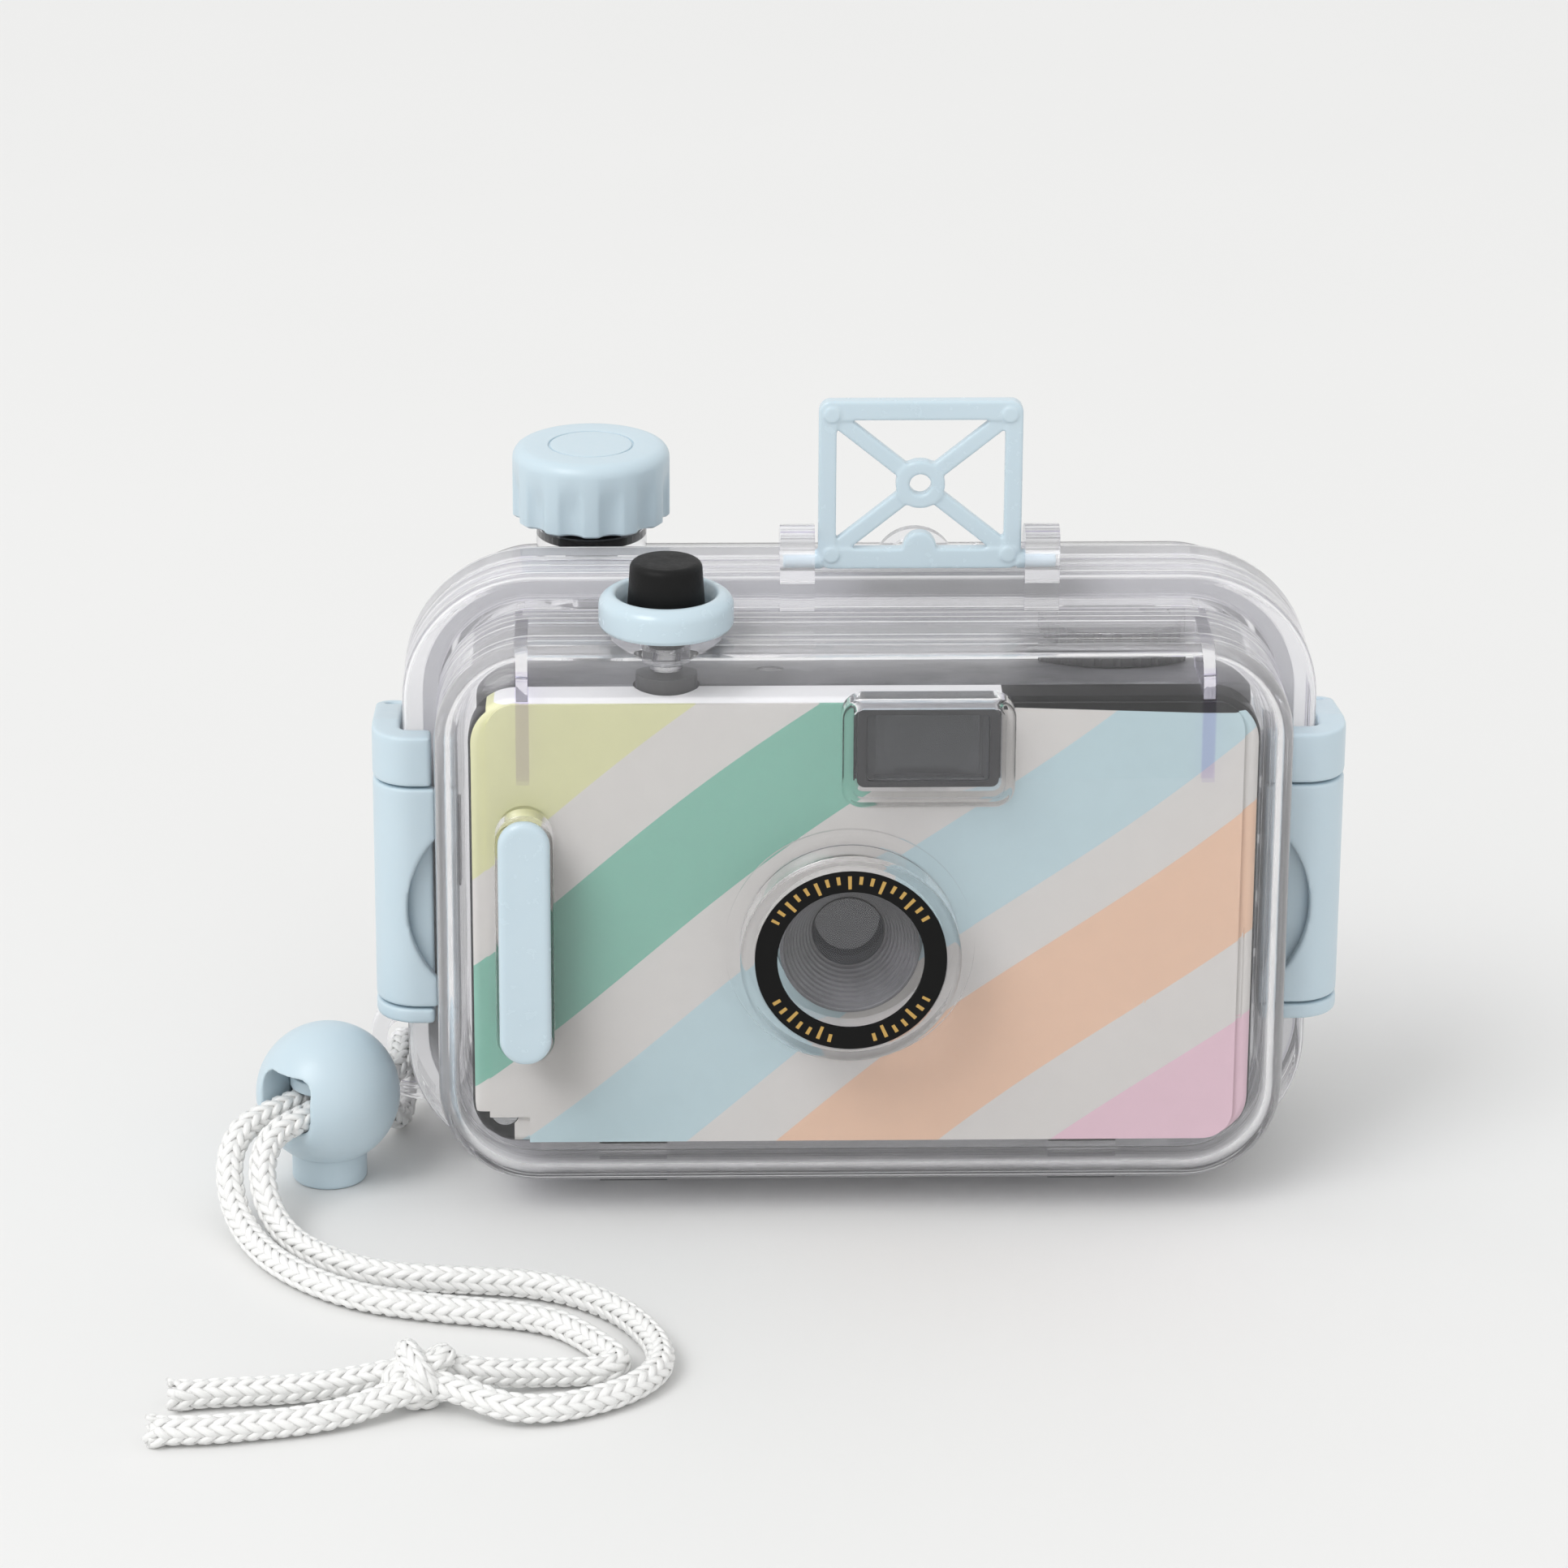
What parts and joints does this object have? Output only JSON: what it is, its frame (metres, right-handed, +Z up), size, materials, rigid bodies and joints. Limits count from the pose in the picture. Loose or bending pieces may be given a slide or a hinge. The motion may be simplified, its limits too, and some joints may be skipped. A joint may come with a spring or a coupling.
{
  "type": "underwater camera",
  "caption": "Film camera in a clear waterproof housing with side latches, folding sight frame, wind knob, sealed shutter button and a short knotted hand cord.",
  "frame": {"origin": "middle of the underside of the housing, on the surface it stands on", "axes": "+Z up, +X towards the right of someone who looks into the lens, -Y the way the lens looks"},
  "size_m": [0.1531, 0.1171, 0.1072],
  "materials": {
    "clear_shell": "clear polycarbonate, polished",
    "clear_lens": "polished optical plastic",
    "light_blue": "satin moulded plastic",
    "light_blue_gloss": "smooth moulded plastic",
    "dark_plastic": "fine matt moulding",
    "black_gloss": "glossy with fine gold marks",
    "soft_rubber": "smooth silicone rubber",
    "printed_card": "printed sheet with pastel diagonal bands",
    "steel": "fine drawn",
    "can_steel": "lacquered sheet",
    "gear_plastic": "natural acetal",
    "white_braid": "glossy braided cord"
  },
  "bodies": {
    "housing": {"front_shell": "clear_shell", "rear_shell": "clear_shell", "shell_gasket": "clear_lens", "lens_port_window": "clear_lens", "lens_ring": "black_gloss", "grip_bar": "light_blue", "wind_seal": "soft_rubber", "shutter_collar": "light_blue_gloss", "shutter_spring": "steel", "shutter_seal": "soft_rubber", "right_latch_pin": "steel", "left_latch_pin": "steel", "camera_body": "dark_plastic", "camera_front_cover": "dark_plastic", "body_screws": "steel", "print_panel": "printed_card", "camera_top_cover": "dark_plastic", "camera_back_door": "dark_plastic", "door_hinge_pin": "steel", "pressure_plate": "dark_plastic", "film_cassette": "can_steel", "finder_frame": "dark_plastic", "finder_front_lens": "clear_lens", "finder_eyepiece": "clear_lens", "lens_cone": "dark_plastic", "front_lens_element": "clear_lens", "rear_lens_element": "clear_lens", "aperture_plate": "dark_plastic", "counter_window": "clear_lens", "cord_lock_body": "light_blue_gloss", "cord_lock_spring": "steel", "cord_strand_a": "white_braid", "cord_strand_b": "white_braid", "cord_knot": "white_braid", "cord_end_a": "white_braid", "cord_end_b": "white_braid"},
    "wind_knob_group": {"wind_knob": "light_blue_gloss", "wind_knob_cap": "light_blue_gloss", "wind_screw": "steel", "wind_shaft": "dark_plastic", "wind_pinion": "dark_plastic"},
    "thumb_wheel_group": {"thumb_wheel": "dark_plastic", "take_up_spool": "dark_plastic"},
    "sprocket_group": {"sprocket_shaft": "gear_plastic"},
    "counter_group": {"counter_dial": "gear_plastic"},
    "shutter_button_group": {"shutter_boot": "soft_rubber", "shutter_plunger": "steel"},
    "camera_button_group": {"camera_shutter_button": "dark_plastic"},
    "shutter_blade_group": {"shutter_blade": "steel"},
    "sight_frame_group": {"sight_frame": "light_blue"},
    "right_latch": {"right_latch_frame": "light_blue", "right_lever_pin": "steel"},
    "right_lever": {"right_latch_lever": "light_blue"},
    "left_latch": {"left_latch_frame": "light_blue", "left_lever_pin": "steel"},
    "left_lever": {"left_latch_lever": "light_blue"},
    "rewind_group": {"rewind_knob": "dark_plastic", "rewind_crank": "dark_plastic", "rewind_fork": "dark_plastic"},
    "cord_lock_button": {"cord_lock_plunger": "light_blue_gloss"}
  },
  "joints": [
    {"name": "wind_knob_spin", "type": "hinge", "parent": "housing", "child": "wind_knob_group", "pos_m": [-0.0352, 0.01905, 0.088], "axis": [0, 0, 1], "continuous": true},
    {"name": "thumb_wheel_spin", "type": "hinge", "parent": "housing", "child": "thumb_wheel_group", "pos_m": [-0.0352, 0.00365, 0.0644], "axis": [0, 0, 1], "continuous": true},
    {"name": "sprocket_spin", "type": "hinge", "parent": "housing", "child": "sprocket_group", "pos_m": [-0.0239, 0.00735, 0.04], "axis": [0, 0, 1], "continuous": true},
    {"name": "counter_spin", "type": "hinge", "parent": "housing", "child": "counter_group", "pos_m": [-0.012, -0.00285, 0.0695], "axis": [0, 0, 1], "continuous": true},
    {"name": "shutter_press", "type": "slide", "parent": "housing", "child": "shutter_button_group", "axis": [0, 0, -1], "range_m": [0, 0.0025], "stiffness_N_per_m": 400, "springref_m": -0.0015, "deforming": ["shutter_spring"]},
    {"name": "camera_button_press", "type": "slide", "parent": "housing", "child": "camera_button_group", "axis": [0, 0, -1], "range_m": [0, 0.0025]},
    {"name": "shutter_blade_swing", "type": "hinge", "parent": "housing", "child": "shutter_blade_group", "pos_m": [0.0051, -0.01535, 0.0317], "axis": [0, 1, 0], "range_deg": [0, 30]},
    {"name": "sight_frame_fold", "type": "hinge", "parent": "housing", "child": "sight_frame_group", "pos_m": [0.0075, -0.00285, 0.0855], "axis": [1, 0, 0], "range_deg": [0, 88]},
    {"name": "right_latch_swing", "type": "hinge", "parent": "housing", "child": "right_latch", "pos_m": [0.0618, 0.01175, 0.042], "axis": [0, 0, 1], "range_deg": [0, 70]},
    {"name": "right_lever_swing", "type": "hinge", "parent": "right_latch", "child": "right_lever", "pos_m": [0.06225, 0.00475, 0.04], "axis": [0, 0, 1], "range_deg": [0, 35]},
    {"name": "left_latch_swing", "type": "hinge", "parent": "housing", "child": "left_latch", "pos_m": [-0.0618, 0.01175, 0.042], "axis": [0, 0, -1], "range_deg": [0, 70]},
    {"name": "left_lever_swing", "type": "hinge", "parent": "left_latch", "child": "left_lever", "pos_m": [-0.06225, 0.00475, 0.04], "axis": [0, 0, -1], "range_deg": [0, 35]},
    {"name": "rewind_spin", "type": "hinge", "parent": "housing", "child": "rewind_group", "pos_m": [0.0332, 0.00175, 0.074], "axis": [0, 0, 1], "continuous": true},
    {"name": "cord_lock_press", "type": "slide", "parent": "housing", "child": "cord_lock_button", "axis": [0, 0, 1], "range_m": [0, 0.003], "stiffness_N_per_m": 300, "springref_m": -0.002, "deforming": ["cord_lock_spring"]}
  ],
  "couplings": [
    {"joint": "thumb_wheel_spin", "follows": "wind_knob_spin", "ratio": -0.29412},
    {"joint": "sprocket_spin", "follows": "wind_knob_spin", "ratio": -0.44},
    {"joint": "counter_spin", "follows": "wind_knob_spin", "ratio": 0.0067},
    {"joint": "camera_button_press", "follows": "shutter_press", "ratio": 1},
    {"joint": "shutter_blade_swing", "follows": "shutter_press", "rad_per_m": 209.4}
  ]
}
